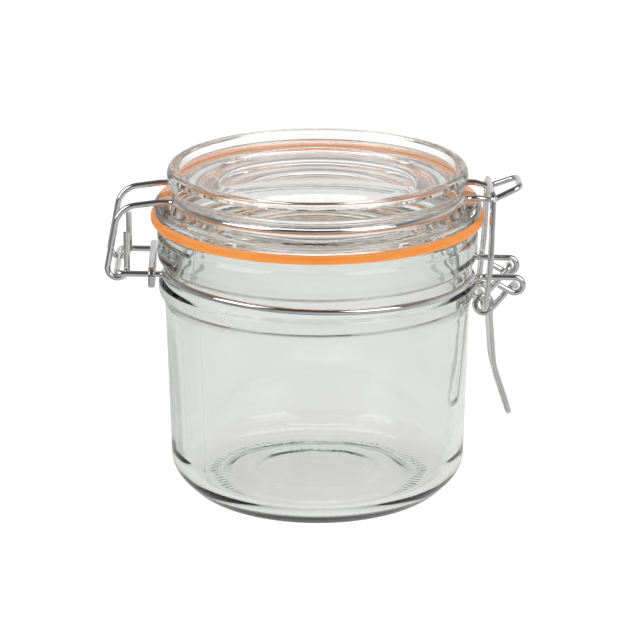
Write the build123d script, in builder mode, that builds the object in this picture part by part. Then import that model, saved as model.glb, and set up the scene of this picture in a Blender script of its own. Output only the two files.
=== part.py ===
from build123d import *
import os
from math import acos, atan2, cos, hypot, radians, sin, sqrt

# Bail clamp jar, closed.  Millimetres, +Z up, origin on the jar's axis at the table.
# The hinge is on the -X side and the clamp on the +X side.  Every piece is symmetric about Y = 0.

os.makedirs("parts", exist_ok=True)

# ---- driving dimensions -------------------------------------------------------------------
wire_dia = 1.75
rub_gap = 0.1           # between wires that rest on each other

# glass jar
body_low_rad = 42.4
body_top_rad = 43.5
body_top_z = 56.5
heel_rad = 11.4         # rounding between the base and the wall
bead_rad = 45.4         # bead under the neck groove
bead_low_z = 60.9
bead_mid_z = 62.3
bead_top_z = 64.0
groove_rad = 44.1
groove_top_z = 68.9
finish_rad = 45.6       # band between the groove and the sealing rim
finish_low_z = 70.0
rim_z = 80.2
rim_round = 1.2
mouth_rad = 39.8
inner_low_rad = 39.0
inner_heel_rad = 9.0
floor_z = 4.6
push_up_z = 1.15        # hollow under the base
push_up_rad = 27.0
bearing_in_rad = 28.6   # inner edge of the flat ring that the jar stands on

# rubber gasket
gasket_rad = 47.3
gasket_in_rad = 40.2
gasket_thick = 2.0
gasket_round = 0.5
gasket_z = rim_z + 0.15

# glass lid
lid_z = gasket_z + gasket_thick
flange_rad = 46.5
flange_top_z = 86.1
flange_round = 1.2
waist_rad = 40.55
waist_low_z = 86.9
waist_top_z = 89.0
disc_rad = 42.6
disc_low_z = 91.2
lid_top_z = 96.0
crown_rad = 1.7
rim_in_rad = 39.6       # inner edge of the raised rim
well_rad = 39.0         # flat sunk ring inside the rim
well_z = 93.2
pane_rad = 28.0         # lower flat pane in the middle
pane_z = 92.2
plug_rad = 37.2
plug_z = 78.8
dome_z = 88.6           # top of the domed hollow under the lid
dome_ball_rad = 110.0
dome_edge_rad = 28.0
dome_rad = 33.4
dome_low_z = 80.6
seat_rad = 39.8         # the underside rises outward from here, so the ring is pressed at its inner edge
seat_rise = 0.4

# neck wire: one flat bent wire, its plane tipped so that the hinge side is higher
neck_ring_rad = groove_rad + wire_dia / 2 + 0.05
neck_ring_z = 66.4
neck_tilt = 1.5
strand_half = 12.5      # |y| of the two strands that carry the axle
strand_turn = 2.5       # bend between the ring and a strand
axle_x = -56.7
axle_turn = 1.9         # bend between a strand and the axle
arm_half = 9.7          # |y| of the two front arms
arm_turn = 3.0
eye_x = 55.7            # the lever turns here
eye_rad = 2.25          # middle of the wire to the middle of the pin
eye_wrap = 28.0         # degrees past the bottom of the eye
eye_tail = 4.2

# clip plate on the two strands
clip_x = -46.9
clip_thick = 2.0
clip_length = 31.0
clip_height = 6.0
clip_corner = 2.2
clip_drop = 0.7         # middle of the plate below the strands
clip_edge_round = 0.6

# lid wire
lid_ring_rad = waist_rad + wire_dia / 2 + rub_gap
lid_ring_z = 87.95
ring_turn = 3.0
leg_half = 10.5
leg_root_x = -44.6
leg_top_x = -56.0
leg_top_z = 86.5
curl_left_x = -60.0
tail_x = -53.9
tail_top_z = 79.3
root_half = 8.6         # |y| of the tongue where it leaves the ring
root_x = 45.2
dip_x = 49.0            # the clamp's bar rests in this dip
dip_z = 87.0
dip_half = 7.4
nose_x = 57.0
nose_z = 90.3
nose_half = 5.4

# clamp lever
coil_x = 47.0
coil_z = 56.1
coil_rad = 2.35
coil_steps = 7
coil_shift = 1.95       # how far the coil moves inward over its turn
diagonal_half = 7.6
pin_end_half = 10.7
handle_bend = (50.4, 5.0, 36.5)
handle_tip = (55.3, 4.0, 22.0)

# clamp link
bar_half = 10.3
link_half = 11.9
knee_x = 48.5
knee_z = 71.0
foot_end_half = 4.6

# ---- worked-out places --------------------------------------------------------------------
wire_rad = wire_dia / 2
tilt = radians(neck_tilt)
axle_z = neck_ring_z - axle_x * sin(tilt)
eye_z = neck_ring_z - eye_x * sin(tilt) - eye_rad
curl_low_z = axle_z - wire_dia - rub_gap
bar_z = dip_z + wire_dia + 2 * rub_gap


def on_neck_plane(x, y):
    """A point of the tipped plane that the neck wire lies in."""
    return Vector(x * cos(tilt), y, neck_ring_z - x * sin(tilt))


def turn_middle(ring_rad, strand, turn_rad):
    """Middle of the arc that turns a ring's wire into a straight strand along X."""
    return Vector(sqrt((ring_rad + turn_rad) ** 2 - (strand + turn_rad) ** 2), strand + turn_rad)


def ring_end(ring_rad, strand, turn_rad):
    """Point where the ring stops and that arc starts."""
    return turn_middle(ring_rad, strand, turn_rad) * (ring_rad / (ring_rad + turn_rad))


def dome_height(rad):
    """Height of the lid's round ceiling at that radius."""
    return dome_z - dome_ball_rad + sqrt(dome_ball_rad ** 2 - rad ** 2)


# ---- glass jar ----------------------------------------------------------------------------
with BuildPart() as glass_jar:
    with BuildSketch(Plane.XZ):
        with BuildLine():
            base_rad = body_low_rad - heel_rad
            Polyline((0, push_up_z), (push_up_rad, push_up_z), (bearing_in_rad, 0), (base_rad, 0))
            heel = TangentArc((base_rad, 0), (body_low_rad, heel_rad), tangent=(1, 0))
            wall = Line(heel @ 1, (body_top_rad, body_top_z))
            swell_mid = ((body_top_rad + bead_rad) / 2, (body_top_z + bead_low_z) / 2)
            swell = TangentArc(wall @ 1, swell_mid, tangent=wall % 1)
            swell_top = TangentArc(swell @ 1, (bead_rad, bead_low_z), tangent=swell % 1)
            bead = ThreePointArc(swell_top @ 1, (bead_rad - 0.1, bead_mid_z), (groove_rad, bead_top_z))
            Polyline(bead @ 1, (groove_rad, groove_top_z), (finish_rad, finish_low_z),
                     (finish_rad, rim_z - rim_round))
            rim_out = TangentArc((finish_rad, rim_z - rim_round), (finish_rad - rim_round, rim_z),
                                 tangent=(0, 1))
            rim = Line(rim_out @ 1, (mouth_rad + rim_round, rim_z))
            rim_in = TangentArc(rim @ 1, (mouth_rad, rim_z - rim_round), tangent=(-1, 0))
            bore = Line(rim_in @ 1, (inner_low_rad, floor_z + inner_heel_rad))
            inner_heel = TangentArc(bore @ 1, (inner_low_rad - inner_heel_rad, floor_z), tangent=(0, -1))
            Polyline(inner_heel @ 1, (0, floor_z), (0, push_up_z))
        make_face()
    revolve(axis=Axis.Z)

# ---- rubber gasket ------------------------------------------------------------------------
with BuildPart() as rubber_gasket:
    with BuildSketch(Plane.XY.offset(gasket_z)):
        Circle(gasket_rad)
        Circle(gasket_in_rad, mode=Mode.SUBTRACT)
    extrude(amount=gasket_thick)
    outer_edges = rubber_gasket.edges().filter_by(GeomType.CIRCLE).group_by(SortBy.RADIUS)[-1]
    fillet(outer_edges, radius=gasket_round)

# ---- glass lid ----------------------------------------------------------------------------
with BuildPart() as glass_lid:
    with BuildSketch(Plane.XZ):
        with BuildLine():
            ceiling = ThreePointArc((0, dome_z), (dome_edge_rad / 2, dome_height(dome_edge_rad / 2)),
                                    (dome_edge_rad, dome_height(dome_edge_rad)))
            dome = TangentArc(ceiling @ 1, (dome_rad, dome_low_z), tangent=ceiling % 1)
            Polyline(dome @ 1, (dome_rad + 0.5, plug_z), (plug_rad, plug_z), (plug_rad + 0.3, lid_z),
                     (seat_rad, lid_z), (flange_rad, lid_z + seat_rise), (flange_rad, flange_top_z - flange_round))
            flange_edge = TangentArc((flange_rad, flange_top_z - flange_round),
                                     (flange_rad - flange_round, flange_top_z), tangent=(0, 1))
            waist = Polyline(flange_edge @ 1, (waist_rad, waist_low_z), (waist_rad, waist_top_z))
            flare = TangentArc(waist @ 1, ((waist_rad + disc_rad) / 2, (waist_top_z + disc_low_z) / 2),
                               tangent=(0, 1))
            flare_top = TangentArc(flare @ 1, (disc_rad, disc_low_z), tangent=flare % 1)
            side = Line(flare_top @ 1, (disc_rad, lid_top_z - crown_rad))
            crown = TangentArc(side @ 1, (disc_rad - crown_rad, lid_top_z), tangent=(0, 1))
            Polyline(crown @ 1, (rim_in_rad, lid_top_z), (well_rad, well_z + 0.4), (well_rad - 0.4, well_z),
                     (pane_rad + 0.9, well_z), (pane_rad, pane_z), (0, pane_z), (0, dome_z))
        make_face()
    revolve(axis=Axis.Z)

# ---- neck wire ----------------------------------------------------------------------------
# Half of the wire, from the middle of the axle round the ring to the eye, and its mirror image.
with BuildPart() as neck_wire:
    with BuildLine() as neck_route:
        axle_run = -axle_x / cos(tilt)
        strand_start = -turn_middle(neck_ring_rad, strand_half, strand_turn).X
        rear_end = ring_end(neck_ring_rad, strand_half, strand_turn)
        front_end = ring_end(neck_ring_rad, arm_half, arm_turn)
        arm_start = turn_middle(neck_ring_rad, arm_half, arm_turn).X
        rear_strand = FilletPolyline(on_neck_plane(-axle_run, 0), on_neck_plane(-axle_run, strand_half),
                                     on_neck_plane(strand_start, strand_half), radius=axle_turn)
        rear_bend = TangentArc(rear_strand @ 1, on_neck_plane(-rear_end.X, rear_end.Y),
                               tangent=rear_strand % 1)
        neck_ring = ThreePointArc(rear_bend @ 1, on_neck_plane(0, neck_ring_rad),
                                  on_neck_plane(front_end.X, front_end.Y))
        front_bend = TangentArc(neck_ring @ 1, on_neck_plane(arm_start, arm_half), tangent=neck_ring % 1)
        arm = Line(front_bend @ 1, on_neck_plane(eye_x / cos(tilt), arm_half))
        eye_low = TangentArc(arm @ 1, (eye_x, arm_half, eye_z - eye_rad), tangent=arm % 1)
        wrap = radians(eye_wrap)
        wrap_end = (eye_x - eye_rad * sin(wrap), arm_half, eye_z - eye_rad * cos(wrap))
        eye_close = TangentArc(eye_low @ 1, wrap_end, tangent=eye_low % 1)
        Line(eye_close @ 1, (eye_close @ 1) + (eye_close % 1) * eye_tail)
    with BuildSketch(Plane(neck_route.line @ 0, z_dir=neck_route.line % 0)):
        Circle(wire_rad)
    sweep()
    mirror(about=Plane.XZ)

# ---- clip plate ---------------------------------------------------------------------------
with BuildPart() as clip_plate:
    clip_middle = on_neck_plane(clip_x / cos(tilt), 0)
    clip_plane = Plane(clip_middle, x_dir=(0, 1, 0), z_dir=(cos(tilt), 0, -sin(tilt)))
    with BuildSketch(clip_plane):
        with Locations((0, -clip_drop)):
            RectangleRounded(clip_length, clip_height, clip_corner)
    extrude(amount=clip_thick / 2, both=True)
    clip_rims = clip_plate.faces().sort_by(Axis(clip_plane.origin, clip_plane.z_dir))
    fillet([*clip_rims[0].edges(), *clip_rims[-1].edges()], radius=clip_edge_round)
    with BuildSketch(clip_plane):
        with Locations((-strand_half, 0), (strand_half, 0)):
            Circle(wire_rad + 0.03)
    extrude(amount=clip_thick, both=True, mode=Mode.SUBTRACT)

# ---- lid wire -----------------------------------------------------------------------------
# Half of the wire, from the middle of the tongue's nose round the waist to a hooked leg's cut end.
with BuildPart() as lid_wire:
    with BuildLine() as lid_route:
        tongue_end = ring_end(lid_ring_rad, root_half, ring_turn)
        leg_end = ring_end(lid_ring_rad, leg_half, ring_turn)
        tongue_start = turn_middle(lid_ring_rad, root_half, ring_turn).X
        leg_start = -turn_middle(lid_ring_rad, leg_half, ring_turn).X
        tongue = FilletPolyline((nose_x, 0, nose_z), (nose_x, nose_half, nose_z), (dip_x, dip_half, dip_z),
                                (root_x, root_half, lid_ring_z), (tongue_start, root_half, lid_ring_z),
                                radius=(2.3, 4.0, 4.0))
        tongue_bend = TangentArc(tongue @ 1, (tongue_end.X, tongue_end.Y, lid_ring_z), tangent=(-1, 0, 0))
        lid_ring = ThreePointArc(tongue_bend @ 1, (0, lid_ring_rad, lid_ring_z),
                                 (-leg_end.X, leg_end.Y, lid_ring_z))
        leg_bend = TangentArc(lid_ring @ 1, (leg_start, leg_half, lid_ring_z), tangent=lid_ring % 1)
        FilletPolyline(leg_bend @ 1, (leg_root_x, leg_half, lid_ring_z), (leg_top_x, leg_half, leg_top_z),
                       (curl_left_x, leg_half, curl_low_z), (tail_x, leg_half, curl_low_z),
                       (tail_x, leg_half, tail_top_z), radius=(8.0, 6.5, 2.9, 2.7))
    with BuildSketch(Plane(lid_route.line @ 0, z_dir=lid_route.line % 0)):
        Circle(wire_rad)
    sweep()
    mirror(about=Plane.XZ)

# ---- clamp lever --------------------------------------------------------------------------
# Half of the wire, from the pin's end through the coil to the middle of the handle's tip.
with BuildPart() as clamp_lever:
    with BuildLine() as lever_route:
        reach = hypot(eye_x - coil_x, eye_z - coil_z)
        start_angle = atan2(eye_z - coil_z, eye_x - coil_x) - acos(coil_rad / reach)
        turn_angle = radians(360) + start_angle

        def coil_point(share):
            """Point of the coil's middle line, share 0 at the diagonal and 1 at the handle."""
            angle = start_angle - share * turn_angle
            return Vector(coil_x + coil_rad * cos(angle), diagonal_half - share * coil_shift,
                          coil_z + coil_rad * sin(angle))

        diagonal = FilletPolyline((eye_x, pin_end_half, eye_z), (eye_x, diagonal_half, eye_z),
                                  coil_point(0), radius=1.3)
        coil = diagonal
        for step in range(coil_steps):
            coil = TangentArc(coil @ 1, coil_point((step + 1) / coil_steps), tangent=coil % 1)
        handle_root = (coil @ 1) + (coil % 1) * 3.0
        FilletPolyline(coil @ 1, handle_root, handle_bend, handle_tip, (handle_tip[0], 0, handle_tip[2]),
                       radius=(10.0, 30.0, 3.2))
    with BuildSketch(Plane(lever_route.line @ 0, z_dir=lever_route.line % 0)):
        Circle(wire_rad)
    sweep()
    mirror(about=Plane.XZ)

# ---- clamp link ---------------------------------------------------------------------------
# Half of the wire, from the middle of the bar down one leg to the end of its foot.
with BuildPart() as clamp_link:
    with BuildLine() as link_route:
        FilletPolyline((dip_x, 0, bar_z), (dip_x, bar_half, bar_z), (knee_x, link_half, knee_z),
                       (coil_x, link_half, coil_z), (coil_x, foot_end_half, coil_z),
                       radius=(2.1, 20.0, 1.7))
    with BuildSketch(Plane(link_route.line @ 0, z_dir=link_route.line % 0)):
        Circle(wire_rad)
    sweep()
    mirror(about=Plane.XZ)

# ---- write each piece ---------------------------------------------------------------------
pieces = {
    "glass_jar": glass_jar,
    "glass_lid": glass_lid,
    "rubber_gasket": rubber_gasket,
    "neck_wire": neck_wire,
    "clip_plate": clip_plate,
    "lid_wire": lid_wire,
    "clamp_lever": clamp_lever,
    "clamp_link": clamp_link,
}
for name, piece in pieces.items():
    piece.part.label = name
    export_step(piece.part, f"parts/{name}.step")
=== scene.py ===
import math

import bpy
import numpy as np
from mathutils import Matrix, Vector


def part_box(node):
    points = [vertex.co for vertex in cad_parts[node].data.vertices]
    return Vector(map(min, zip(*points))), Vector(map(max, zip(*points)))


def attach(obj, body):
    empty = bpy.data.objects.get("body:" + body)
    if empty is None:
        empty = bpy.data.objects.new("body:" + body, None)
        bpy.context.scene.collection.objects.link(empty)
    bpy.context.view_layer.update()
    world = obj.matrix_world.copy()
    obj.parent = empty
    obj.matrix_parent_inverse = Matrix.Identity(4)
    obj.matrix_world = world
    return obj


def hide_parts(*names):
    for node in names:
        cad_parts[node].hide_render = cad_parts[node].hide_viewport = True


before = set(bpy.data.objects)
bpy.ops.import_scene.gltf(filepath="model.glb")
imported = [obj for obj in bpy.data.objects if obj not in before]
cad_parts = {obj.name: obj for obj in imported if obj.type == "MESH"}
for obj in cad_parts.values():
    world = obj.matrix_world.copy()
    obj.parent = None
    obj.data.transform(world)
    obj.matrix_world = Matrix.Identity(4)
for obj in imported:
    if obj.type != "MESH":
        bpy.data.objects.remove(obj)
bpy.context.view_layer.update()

MM = 0.001

# ---- places and sizes, in millimetres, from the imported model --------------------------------


def node_box(node):
    """Lowest and highest corner of a CAD node, in millimetres."""
    low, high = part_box(node)
    return Vector(low) / MM, Vector(high) / MM


jar_low, jar_high = node_box("glass_jar")
lid_low, lid_high = node_box("glass_lid")
gasket_low, gasket_high = node_box("rubber_gasket")

stand_z = jar_low.z
finish_rad = jar_high.x
jar_rim_z = jar_high.z
plug_z = lid_low.z
flange_rad = lid_high.x
lid_top_z = lid_high.z
gasket_z = gasket_low.z
gasket_top_z = gasket_high.z
gasket_rad = gasket_high.x

# ---- outlines -------------------------------------------------------------------------------
# An outline is a list of (radius, height, rounding) corners in millimetres. The two glass outlines start on
# the axis, go out and round the section, and end on the axis.

jar_base = [(0, 0.62), (17.0, 0.58, 6.0), (25.6, 0.45, 3.0), (28.9, stand_z, 3.0), (31.0, stand_z, 2.0)]
jar_heel = [(36.0, 1.0, 9.0), (42.4, 7.6, 11.0), (42.45, 15.0, 4.0)]
jar_wall = [(43.4, 51.5, 12.0), (43.7, 56.4, 5.0)]
jar_shoulder_bead = [(44.5, 59.0, 1.6), (45.3, 60.0, 0.8), (45.4, 61.2, 0.8), (45.3, 62.9, 1.0)]
jar_neck = [(44.1, 64.0, 0.7), (44.1, 69.0, 0.5)]
jar_finish = [
    (45.5, 69.9, 0.7), (finish_rad, 72.0, 2.0), (finish_rad, 76.6, 1.0),
    (45.0, 77.5, 0.6), (45.0, 79.0, 0.5), (44.2, jar_rim_z, 0.9), (41.2, jar_rim_z, 1.1),
]
jar_mouth = [(39.8, 78.6, 1.2), (39.65, 75.0, 4.0), (39.75, 69.0, 4.0), (39.95, 64.5, 3.0)]
jar_inner_wall = [(39.7, 58.5, 4.0), (39.5, 54.0, 5.0), (39.0, 13.6, 5.0), (38.2, 8.2, 5.5)]
jar_floor = [(34.4, 5.1, 5.5), (29.0, 4.6, 6.0), (18.6, 4.6, 1.5), (17.0, 4.45, 1.5), (0, 4.4)]
jar_outline = [
    *jar_base, *jar_heel, *jar_wall, *jar_shoulder_bead, *jar_neck, *jar_finish,
    *jar_mouth, *jar_inner_wall, *jar_floor,
]

DOME_Z = 88.6               # crown of the hollow under the lid
DOME_BALL_RAD = 110.0       # the hollow's ceiling is a shallow piece of a ball
DOME_POINT_RADS = range(0, 30, 2)
seat_z = gasket_top_z + 0.01    # inner edge of the flange's underside, just clear of the ring
SEAT_RISE = 0.4                 # the underside rises outward from there

lid_hollow = [(rad, DOME_Z - rad * rad / (2 * DOME_BALL_RAD)) for rad in DOME_POINT_RADS]
lid_plug = [
    (33.4, 81.8, 5.0), (34.0, 79.4, 1.0), (34.6, plug_z, 0.4), (36.9, plug_z, 0.5), (37.25, 80.0, 0.6),
]
lid_flange = [
    (37.6, seat_z, 0.3), (39.8, seat_z, 0.5), (45.9, seat_z + SEAT_RISE, 0.4),
    (flange_rad, 83.2, 0.4), (flange_rad, 84.9, 1.2), (45.3, 86.1, 1.5),
]
lid_waist = [(41.2, 86.6, 0.8), (40.55, 87.0, 0.4), (40.55, 89.1, 0.9), (41.5, 90.2, 0.9)]
lid_rim = [
    (42.55, 91.3, 0.9), (42.6, 94.0, 1.0), (42.0, 95.6, 1.2), (40.9, lid_top_z, 0.6), (39.7, lid_top_z, 0.6),
]
lid_sunk_ring = [(39.1, 93.3, 0.5), (29.0, 93.2, 0.6)]
lid_pane = [(28.2, 92.2, 0.7), (24.0, 92.2, 1.0), (0, 92.2)]
lid_outline = [*lid_hollow, *lid_plug, *lid_flange, *lid_waist, *lid_rim, *lid_sunk_ring, *lid_pane]

GASKET_IN_RAD = 40.25
GASKET_MID_RAD = 43.0       # the closed section starts and ends here, in the middle of its lower face


def ring_edge(rad, z, across, down, rounding):
    """The two corners of a bevelled edge, the one on the flat face first. across and down point inward."""
    return [(rad + across, z, rounding), (rad, z + down, rounding)]


outer_low = ring_edge(gasket_rad, gasket_z, -0.4, 0.45, 0.3)
outer_top = ring_edge(gasket_rad, gasket_top_z, -0.4, -0.45, 0.3)
inner_low = ring_edge(GASKET_IN_RAD, gasket_z, 0.3, 0.3, 0.2)
inner_top = ring_edge(GASKET_IN_RAD, gasket_top_z, 0.3, -0.3, 0.2)
gasket_outline = [
    (GASKET_MID_RAD, gasket_z), *outer_low, *reversed(outer_top),
    *inner_top, *reversed(inner_low), (GASKET_MID_RAD, gasket_z),
]

# ---- turned meshes --------------------------------------------------------------------------
SEGMENTS = 720              # columns of points round a turned piece
STEP = 1.6                  # longest straight piece of an outline
ARC_STEP = math.radians(9)  # largest turn between two points of a rounded corner
NEARLY_STRAIGHT = math.radians(89.5)
RUN_SHARE = 0.49            # how much of the run beside it a rounding may take
SAME_POINT = 1e-5
ON_AXIS = 1e-6


def rounded_corner(here, before, after, rounding):
    """Points of the arc that rounds a corner, or the corner itself where the outline hardly turns."""
    a, b = before.normalized(), after.normalized()
    half = math.acos(max(-1.0, min(1.0, a.dot(b)))) / 2
    if half > NEARLY_STRAIGHT:
        return [here]
    reach = rounding / math.tan(half)
    limit = RUN_SHARE * min(before.length, after.length)
    if reach > limit:
        reach = limit
        rounding = reach * math.tan(half)
    middle = here + (a + b).normalized() * (rounding / math.sin(half))
    u = here + a * reach - middle
    v = here + b * reach - middle
    sweep = math.atan2(u.x * v.y - u.y * v.x, u.dot(v))
    steps = max(3, math.ceil(abs(sweep) / ARC_STEP))
    points = []
    for k in range(steps + 1):
        turn = sweep * k / steps
        points.append(middle + Vector((u.x * math.cos(turn) - u.y * math.sin(turn),
                                       u.x * math.sin(turn) + u.y * math.cos(turn))))
    return points


def filled_in(points):
    """The same line with points added, so that no straight piece is longer than STEP."""
    dense = [points[0]]
    for point in points[1:]:
        start = dense[-1]
        gap = (point - start).length
        if gap < SAME_POINT:
            continue
        pieces = max(1, math.ceil(gap / STEP))
        for k in range(1, pieces + 1):
            dense.append(start.lerp(point, k / pieces))
    return dense


def soften(outline):
    """Outline corners as plain points, with arcs in the rounded corners."""
    points = []
    last = len(outline) - 1
    for i, (radius, height, *rounding) in enumerate(outline):
        here = Vector((radius, height))
        if not rounding or i in (0, last):
            points.append(here)
            continue
        before = Vector(outline[i - 1][:2]) - here
        after = Vector(outline[i + 1][:2]) - here
        points.extend(rounded_corner(here, before, after, rounding[0]))
    return filled_in(points)


def strip(one, two):
    """Faces between two neighbouring rings of points, where a ring on the axis is a single point."""
    faces = []
    columns = max(len(one), len(two))
    for k in range(columns):
        n = (k + 1) % columns
        if len(one) == 1:
            faces.append((one[0], two[n], two[k]))
        elif len(two) == 1:
            faces.append((one[k], one[n], two[0]))
        else:
            faces.append((one[k], one[n], two[n], two[k]))
    return faces


def turned(name, outline, shape=None, closed=False, extra=()):
    """A smooth turned solid. shape(angle, radius, height) gives how far each point moves out and up.

    closed says that the outline is a loop away from the axis. extra holds angles of added columns of points.
    """
    profile = soften(outline)
    if closed and (profile[0] - profile[-1]).length < SAME_POINT:
        profile.pop()
    even = [2 * math.pi * k / SEGMENTS for k in range(SEGMENTS)]
    angles = np.array(sorted(even + list(extra)))
    columns = len(angles)
    verts, rings = [], []
    for point in profile:
        if point.x < ON_AXIS:
            rings.append([len(verts)])
            verts.append((0.0, 0.0, point.y * MM))
            continue
        rad = np.full(columns, point.x)
        high = np.full(columns, point.y)
        if shape is not None:
            out, up = shape(angles, point.x, point.y)
            rad = rad + out
            high = high + up
        rings.append(list(range(len(verts), len(verts) + columns)))
        x = rad * np.cos(angles) * MM
        y = rad * np.sin(angles) * MM
        verts.extend(zip(x.tolist(), y.tolist(), (high * MM).tolist()))
    faces = []
    count = len(rings)
    for i in range(count if closed else count - 1):
        faces.extend(strip(rings[i], rings[(i + 1) % count]))
    mesh = bpy.data.meshes.new(name)
    mesh.from_pydata(verts, [], faces)
    mesh.polygons.foreach_set("use_smooth", [True] * len(mesh.polygons))
    mesh.update()
    piece = bpy.data.objects.new(name, mesh)
    bpy.context.scene.collection.objects.link(piece)
    return piece


# ---- marks of the mould ---------------------------------------------------------------------
def front(degrees_right):
    """World angle of a place on the front, so many degrees to the right of the middle."""
    return math.radians(-90 + degrees_right)


JAR_SEAMS = [front(-50), front(130)]
LID_SEAMS = [front(24), front(204)]
SEAM_HALF_WIDTH = math.radians(0.33)
# Beside and on the seam's crest. The middle one is a little off 0, where an even column already stands.
SEAM_COLUMNS = (-0.34, -0.17, 0.03, 0.17, 0.34)


def seam_columns(seams):
    """Extra columns of points that give the seams crisp edges."""
    return [(at + math.radians(d)) % (2 * math.pi) for at in seams for d in SEAM_COLUMNS]


def seam_ridges(angle, seams, height):
    """Thin lines of that height that run along the surface at the seams."""
    total = np.zeros_like(angle)
    for at in seams:
        gap = np.abs((angle - at + math.pi) % (2 * math.pi) - math.pi)
        total += height * np.clip(1 - gap / SEAM_HALF_WIDTH, 0, 1)
    return total


def fade(place, low, high, rise, fall):
    """1 between low and high, and running out to 0 at both: over rise at low and over fall at high."""
    return min(1.0, max(0.0, (place - low) / rise)) * min(1.0, max(0.0, (high - place) / fall))


def waves(angle, place, rows):
    """Sum of gentle waves. A row is (lobes round the piece, phase, twist per millimetre of place, size)."""
    return sum(size * np.sin(lobes * angle + phase + twist * place) for lobes, phase, twist, size in rows)


# The jar
INSIDE_RAD, INSIDE_Z = 41.5, 4.0        # a point within this radius and above this height is inside the jar
INNER_LOW_Z, INNER_TOP_Z = 5.0, 62.0    # the stretch of the inner wall that is slightly wavy
INNER_WAVES = [(3, 1.1, 0.02, 0.11), (5, 2.0, -0.02, 0.08), (11, 0.4, 0.04, 0.045), (23, 0.0, 0.06, 0.02)]
OUTER_RAD, OUTER_Z = 42.0, 11.0         # the seams run outside this radius and above this height
WALL_LOW_Z, WALL_TOP_Z = 14.0, 54.0     # the stretch of the outer wall that is slightly wavy
OUTER_WAVE = 0.05
BAND_RAD = 44.0                         # the shoulder bead and the finish band are wider than this
JAR_SEAM_HEIGHT = 0.03
TICKS = 120                             # fine radial ticks on the ring that the jar stands on
TICK_LOW_RAD, TICK_TOP_RAD, TICK_Z = 28.6, 33.4, 1.5
TICK_HEIGHT = 0.16


def jar_shape(angle, radius, height):
    """Mould seams, base ticks and the slightly uneven wall of pressed glass."""
    out = np.zeros_like(angle)
    up = np.zeros_like(angle)
    if radius < INSIDE_RAD and height > INSIDE_Z:
        wave = waves(angle, height, INNER_WAVES)
        out += fade(height, INNER_LOW_Z, INNER_TOP_Z, rise=12.0, fall=14.0) * wave
    elif radius > OUTER_RAD and height > OUTER_Z:
        out += seam_ridges(angle, JAR_SEAMS, JAR_SEAM_HEIGHT)
        if WALL_LOW_Z < height < WALL_TOP_Z:
            wave = waves(angle, height, [(4, 0.7, 0.03, OUTER_WAVE)]) - OUTER_WAVE
            out += fade(height, WALL_LOW_Z, WALL_TOP_Z, rise=8.0, fall=8.0) * wave
        else:
            # The bands are drawn in by the seam's height, so the seams don't pass the CAD's radius.
            out -= JAR_SEAM_HEIGHT * min(1.0, max(0.0, radius - BAND_RAD))
    elif TICK_LOW_RAD < radius < TICK_TOP_RAD and height < TICK_Z:
        along = (radius - TICK_LOW_RAD) / (TICK_TOP_RAD - TICK_LOW_RAD)
        lift = 0.5 - 0.5 * math.cos(2 * math.pi * along)
        up += TICK_HEIGHT * lift * (0.5 - 0.5 * np.cos(TICKS * angle))
    return out, up


# The lid
EDGE_RAD, EDGE_LOW_Z, EDGE_TOP_Z = 45.5, 82.8, 85.9     # the flange's outer edge
LID_SEAM_HEIGHT = 0.08
CENTRE_RAD = 3.0                                        # no waves nearer to the axis than this
CEILING_RAD, CEILING_Z = 33.0, 89.5                     # the hollow's ceiling: within and below these
CEILING_WAVES = [(2, 0.5, 0.09, 0.012), (3, 2.0, -0.05, 0.006)]
PANE_RAD, PANE_Z = 26.0, 91.0                           # the pane's upper face: within and above these
PANE_WAVES = [(3, 1.7, 0.12, 0.006)]


def lid_shape(angle, radius, height):
    """Mould seams on the flange and the slightly uneven faces of pressed glass."""
    out = np.zeros_like(angle)
    up = np.zeros_like(angle)
    if radius > EDGE_RAD and EDGE_LOW_Z < height < EDGE_TOP_Z:
        out += seam_ridges(angle, LID_SEAMS, LID_SEAM_HEIGHT) - LID_SEAM_HEIGHT
    elif height < CEILING_Z and CENTRE_RAD < radius < CEILING_RAD:
        wave = waves(angle, radius, CEILING_WAVES)
        up += fade(radius, CENTRE_RAD, CEILING_RAD, rise=8.0, fall=5.0) * wave
    elif height > PANE_Z and CENTRE_RAD < radius < PANE_RAD:
        wave = waves(angle, radius, PANE_WAVES)
        up += fade(radius, CENTRE_RAD, PANE_RAD, rise=8.0, fall=5.0) * wave
    return out, up


# ---- node trees -----------------------------------------------------------------------------
class Nodes:
    """Short way to write a node tree."""

    def __init__(self, tree):
        self.tree = tree
        tree.nodes.clear()

    def add(self, kind, **values):
        node = self.tree.nodes.new(kind)
        for key, value in values.items():
            setattr(node, key, value)
        return node

    def link(self, a, b):
        self.tree.links.new(a, b)


def material(name):
    """A new material with a Principled shader, and the tree to build its detail in."""
    made = bpy.data.materials.new(name)
    made.use_nodes = True
    tree = Nodes(made.node_tree)
    shader = tree.add("ShaderNodeBsdfPrincipled")
    output = tree.add("ShaderNodeOutputMaterial")
    tree.link(shader.outputs["BSDF"], output.inputs["Surface"])
    return made, tree, shader, output


def noise(tree, place, scale, detail, stretch=None, roughness=0.5, distortion=0.0):
    """Noise texture on the object's own coordinates, in features per metre."""
    if stretch is not None:
        mapping = tree.add("ShaderNodeMapping")
        mapping.inputs["Scale"].default_value = stretch
        tree.link(place, mapping.inputs["Vector"])
        place = mapping.outputs["Vector"]
    made = tree.add("ShaderNodeTexNoise")
    made.inputs["Scale"].default_value = scale
    made.inputs["Detail"].default_value = detail
    made.inputs["Roughness"].default_value = roughness
    made.inputs["Distortion"].default_value = distortion
    tree.link(place, made.inputs["Vector"])
    return made.outputs["Fac"]


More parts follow.
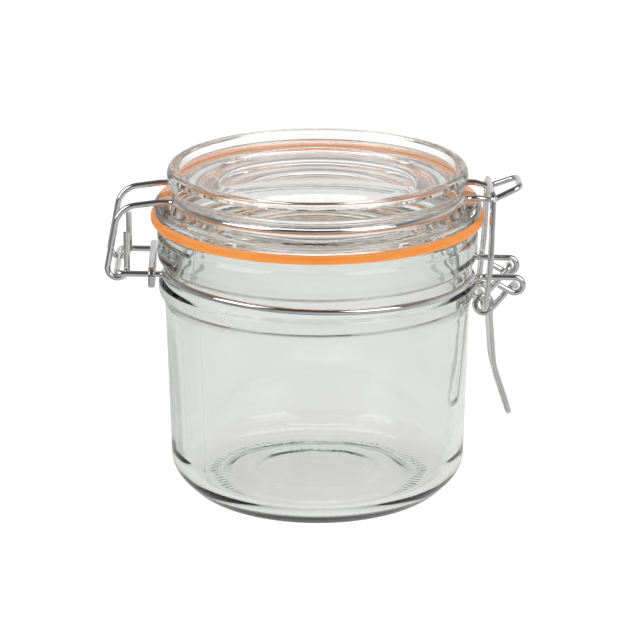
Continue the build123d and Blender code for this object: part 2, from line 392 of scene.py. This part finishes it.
def ramp(tree, value, stops):
    """Colour ramp over stops of (position, colour)."""
    made = tree.add("ShaderNodeValToRGB")
    band = made.color_ramp
    while len(band.elements) < len(stops):
        band.elements.new(0.5)
    for element, (at, colour) in zip(band.elements, stops):
        element.position = at
        element.color = (*colour, 1.0)
    tree.link(value, made.inputs["Fac"])
    return made.outputs["Color"]


def grey(v):
    return (v, v, v)


def bump(tree, height, strength, distance, under=None):
    """Bump from a height, on top of another bump if one is given."""
    made = tree.add("ShaderNodeBump")
    made.inputs["Strength"].default_value = strength
    made.inputs["Distance"].default_value = distance
    tree.link(height, made.inputs["Height"])
    if under is not None:
        tree.link(under, made.inputs["Normal"])
    return made.outputs["Normal"]


# ---- materials ------------------------------------------------------------------------------
def glass(name, low, high, tint, density, wave, wave_scale):
    """Pressed clear glass: a faint tint in its depth, gentle ripples and a little haze."""
    made, tree, shader, output = material(name)
    place = tree.add("ShaderNodeTexCoord").outputs["Object"]
    cloud = noise(tree, place, scale=60.0, detail=3.0)
    tree.link(ramp(tree, cloud, [(0.3, low), (0.7, high)]), shader.inputs["Base Color"])
    haze = noise(tree, place, scale=240.0, detail=5.0)
    tree.link(ramp(tree, haze, [(0.45, grey(0.0)), (0.8, grey(0.02))]), shader.inputs["Roughness"])
    ripple = noise(tree, place, scale=wave_scale, detail=2.0, stretch=(1.0, 1.0, 0.35), distortion=0.6)
    fine = noise(tree, place, scale=900.0, detail=2.0)
    rippled = bump(tree, ripple, strength=wave, distance=0.001)
    tree.link(bump(tree, fine, strength=0.04, distance=0.0001, under=rippled), shader.inputs["Normal"])
    shader.inputs["IOR"].default_value = 1.52
    shader.inputs["Transmission Weight"].default_value = 1.0
    volume = tree.add("ShaderNodeVolumeAbsorption")
    volume.inputs["Color"].default_value = (*tint, 1.0)
    volume.inputs["Density"].default_value = density
    tree.link(volume.outputs["Volume"], output.inputs["Volume"])
    return made


def chrome(name, dark, light, smooth, rough):
    """Bright nickel-chrome plating: uneven brightness, dull spots, shallow dents and fine grain."""
    made, tree, shader, _ = material(name)
    place = tree.add("ShaderNodeTexCoord").outputs["Object"]
    cloud = noise(tree, place, scale=140.0, detail=4.0)
    tree.link(ramp(tree, cloud, [(0.35, dark), (0.65, light)]), shader.inputs["Base Color"])
    spots = noise(tree, place, scale=700.0, detail=4.0)
    tree.link(ramp(tree, spots, [(0.45, grey(smooth)), (0.75, grey(rough))]), shader.inputs["Roughness"])
    dents = noise(tree, place, scale=260.0, detail=2.0)
    grain = noise(tree, place, scale=2600.0, detail=3.0)
    dented = bump(tree, dents, strength=0.10, distance=0.0002)
    tree.link(bump(tree, grain, strength=0.05, distance=0.00005, under=dented), shader.inputs["Normal"])
    shader.inputs["Metallic"].default_value = 1.0
    return made


def rubber(name):
    """Moulded orange rubber: soft mottling and a fine matt grain."""
    made, tree, shader, _ = material(name)
    place = tree.add("ShaderNodeTexCoord").outputs["Object"]
    cloud = noise(tree, place, scale=90.0, detail=5.0, roughness=0.6)
    orange = [(0.25, (0.90, 0.26, 0.030)), (0.55, (0.98, 0.32, 0.045)), (0.8, (1.0, 0.36, 0.06))]
    tree.link(ramp(tree, cloud, orange), shader.inputs["Base Color"])
    grain = noise(tree, place, scale=2600.0, detail=4.0)
    tree.link(ramp(tree, grain, [(0.3, grey(0.38)), (0.7, grey(0.52))]), shader.inputs["Roughness"])
    tree.link(bump(tree, grain, strength=0.12, distance=0.0001), shader.inputs["Normal"])
    shader.inputs["Sheen Weight"].default_value = 0.08
    shader.inputs["IOR"].default_value = 1.46
    return made


jar_glass = glass(
    "jar_glass_clear", low=grey(0.902), high=grey(0.934),
    tint=(0.825, 0.842, 0.82), density=170.0, wave=0.05, wave_scale=34.0)
lid_glass = glass(
    "lid_glass_clear", low=(0.92, 0.918, 0.912), high=(0.95, 0.947, 0.942),
    tint=(0.86, 0.85, 0.81), density=18.0, wave=0.02, wave_scale=46.0)
wire_chrome = chrome("wire_chrome", dark=grey(0.72), light=grey(0.80), smooth=0.06, rough=0.16)
clip_chrome = chrome(
    "clip_chrome", dark=(0.66, 0.65, 0.65), light=(0.78, 0.78, 0.79), smooth=0.10, rough=0.28)
gasket_rubber = rubber("gasket_orange")

# ---- pieces ---------------------------------------------------------------------------------
jar = turned("jar_glass_body", jar_outline, jar_shape, extra=seam_columns(JAR_SEAMS))
lid = turned("lid_glass_top", lid_outline, lid_shape, extra=seam_columns(LID_SEAMS))
gasket = turned("gasket_ring", gasket_outline, closed=True)

for piece, finish, body, slot, node in (
        (jar, jar_glass, "jar", "jar_glass", "glass_jar"),
        (lid, lid_glass, "lid", "lid_glass", "glass_lid"),
        (gasket, gasket_rubber, "lid", "gasket_rubber", "rubber_gasket")):
    piece.data.materials.append(finish)
    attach(piece, body)
    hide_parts(node)

for name in ("neck_wire", "lid_wire", "clamp_lever", "clamp_link"):
    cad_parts[name].material_slots[0].material = wire_chrome
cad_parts["clip_plate"].material_slots[0].material = clip_chrome

# Clear glass casts no dark shadow: light passes straight through it to the floor and the other pieces.
for piece in (jar, lid):
    piece.visible_shadow = False
    piece.visible_diffuse = False

# ---- floor ----------------------------------------------------------------------------------
FLOOR_SIZE = 6.0            # metres
FLOOR_Z = -0.0002           # just under the jar's standing ring, so that the faces don't share a plane

bpy.ops.mesh.primitive_plane_add(size=FLOOR_SIZE, location=(0, 0, FLOOR_Z))
floor = bpy.context.object
floor.name = "floor"
floor_white, _, shader, _ = material("floor_white")
shader.inputs["Base Color"].default_value = (*grey(0.56), 1)
shader.inputs["Roughness"].default_value = 0.9
shader.inputs["Emission Color"].default_value = (*grey(1), 1)
shader.inputs["Emission Strength"].default_value = 0.62
floor.data.materials.append(floor_white)
floor.visible_glossy = False    # so what chrome mirrors from below is the lower half of the world

# ---- world: soft studio walls, as brightness by direction -----------------------------------
world = bpy.data.worlds.new("studio")
bpy.context.scene.world = world
world.use_nodes = True
sky = Nodes(world.node_tree)
background = sky.add("ShaderNodeBackground")
sky_out = sky.add("ShaderNodeOutputWorld")
sky.link(background.outputs["Background"], sky_out.inputs["Surface"])
direction = sky.add("ShaderNodeTexCoord").outputs["Generated"]
split = sky.add("ShaderNodeSeparateXYZ")
sky.link(direction, split.inputs["Vector"])


def along(socket, stops):
    """Brightness over a direction component that runs from -1 to 1."""
    spread = sky.add("ShaderNodeMapRange")
    spread.inputs["From Min"].default_value = -1.0
    spread.inputs["From Max"].default_value = 1.0
    sky.link(socket, spread.inputs["Value"])
    return ramp(sky, spread.outputs["Result"], [((at + 1) / 2, grey(v)) for at, v in stops])


def mixed(how, a, b):
    """Two brightnesses in one: MULTIPLY gives their product and LIGHTEN the lighter one."""
    mix = sky.add("ShaderNodeMix", data_type="RGBA", blend_type=how)
    mix.inputs["Factor"].default_value = 1.0
    sky.link(a, mix.inputs["A"])
    sky.link(b, mix.inputs["B"])
    return mix.outputs["Result"]


# Z runs from straight down to straight up, Y from the camera's side to the back, X from left to right.
by_height = along(
    split.outputs["Z"], [(-1.0, 0.75), (-0.3, 0.85), (0.25, 0.85), (0.42, 0.55), (0.7, 0.25), (1.0, 0.20)])
by_depth = along(
    split.outputs["Y"], [(-1.0, 0.20), (-0.6, 0.26), (-0.25, 0.55), (0.1, 0.95), (0.5, 1.0)])
by_side = along(
    split.outputs["X"], [(-0.9, 0.40), (-0.35, 0.72), (0.15, 1.0), (0.9, 0.85)])
from_below = along(
    split.outputs["Z"], [(-1.0, 0.75), (-0.22, 0.75), (-0.08, 0.30), (0.05, 0.0)])
walls = mixed("MULTIPLY", by_height, mixed("LIGHTEN", by_depth, from_below))
sky.link(mixed("MULTIPLY", walls, by_side), background.inputs["Color"])
background.inputs["Strength"].default_value = 1.0

# ---- lights and camera, in metres and degrees -----------------------------------------------
LIGHT_AIM = (0, 0, 0.05)            # the middle of the jar
CAMERA_AIM = (-0.0013, 0.0, 0.05175)
CAMERA_AZIMUTH, CAMERA_ELEVATION, CAMERA_DISTANCE = -1.5, 17.79, 0.850


def bearing(azimuth, elevation):
    """Direction from the object: azimuth 0 is in front, 90 on the right."""
    a, e = math.radians(azimuth), math.radians(elevation)
    return Vector((math.sin(a) * math.cos(e), -math.cos(a) * math.cos(e), math.sin(e)))


def put(name, data, aim, back, distance):
    """An object that far from the aim, along back, and turned to look at the aim."""
    placed = bpy.data.objects.new(name, data)
    placed.location = Vector(aim) + back * distance
    placed.rotation_mode = "QUATERNION"
    placed.rotation_quaternion = (-back).to_track_quat("-Z", "Y")
    bpy.context.scene.collection.objects.link(placed)
    return placed


def soft_box(name, azimuth, elevation, distance, width, height, power):
    """Rectangular studio light, aimed at the middle of the jar."""
    lamp = bpy.data.lights.new(name, "AREA")
    lamp.shape = "RECTANGLE"
    lamp.size, lamp.size_y = width, height
    lamp.energy = power
    return put(name, lamp, LIGHT_AIM, bearing(azimuth, elevation), distance)


top_box = soft_box("top_box", 180, 66, distance=1.3, width=1.0, height=0.6, power=9.0)
top_box.visible_glossy = False      # it lights the rubber and the floor and leaves no streak in the chrome
soft_box("left_box", -61, 30, distance=1.2, width=0.72, height=0.95, power=5.5)
soft_box("right_box", 42, 30, distance=1.2, width=0.72, height=0.95, power=5.5)

lens = bpy.data.cameras.new("camera")
lens.lens = 170.45
lens.sensor_width = 36.0
lens.clip_start = 0.01
lens.clip_end = 50.0
camera = put("camera", lens, CAMERA_AIM, bearing(CAMERA_AZIMUTH, CAMERA_ELEVATION), CAMERA_DISTANCE)
bpy.context.scene.camera = camera

scene = bpy.context.scene
scene.view_settings.view_transform = "Standard"
scene.cycles.use_denoising = True
scene.cycles.max_bounces = 24
scene.cycles.transmission_bounces = 20
scene.cycles.glossy_bounces = 8
scene.cycles.transparent_max_bounces = 12
scene.cycles.caustics_reflective = False
scene.cycles.caustics_refractive = False
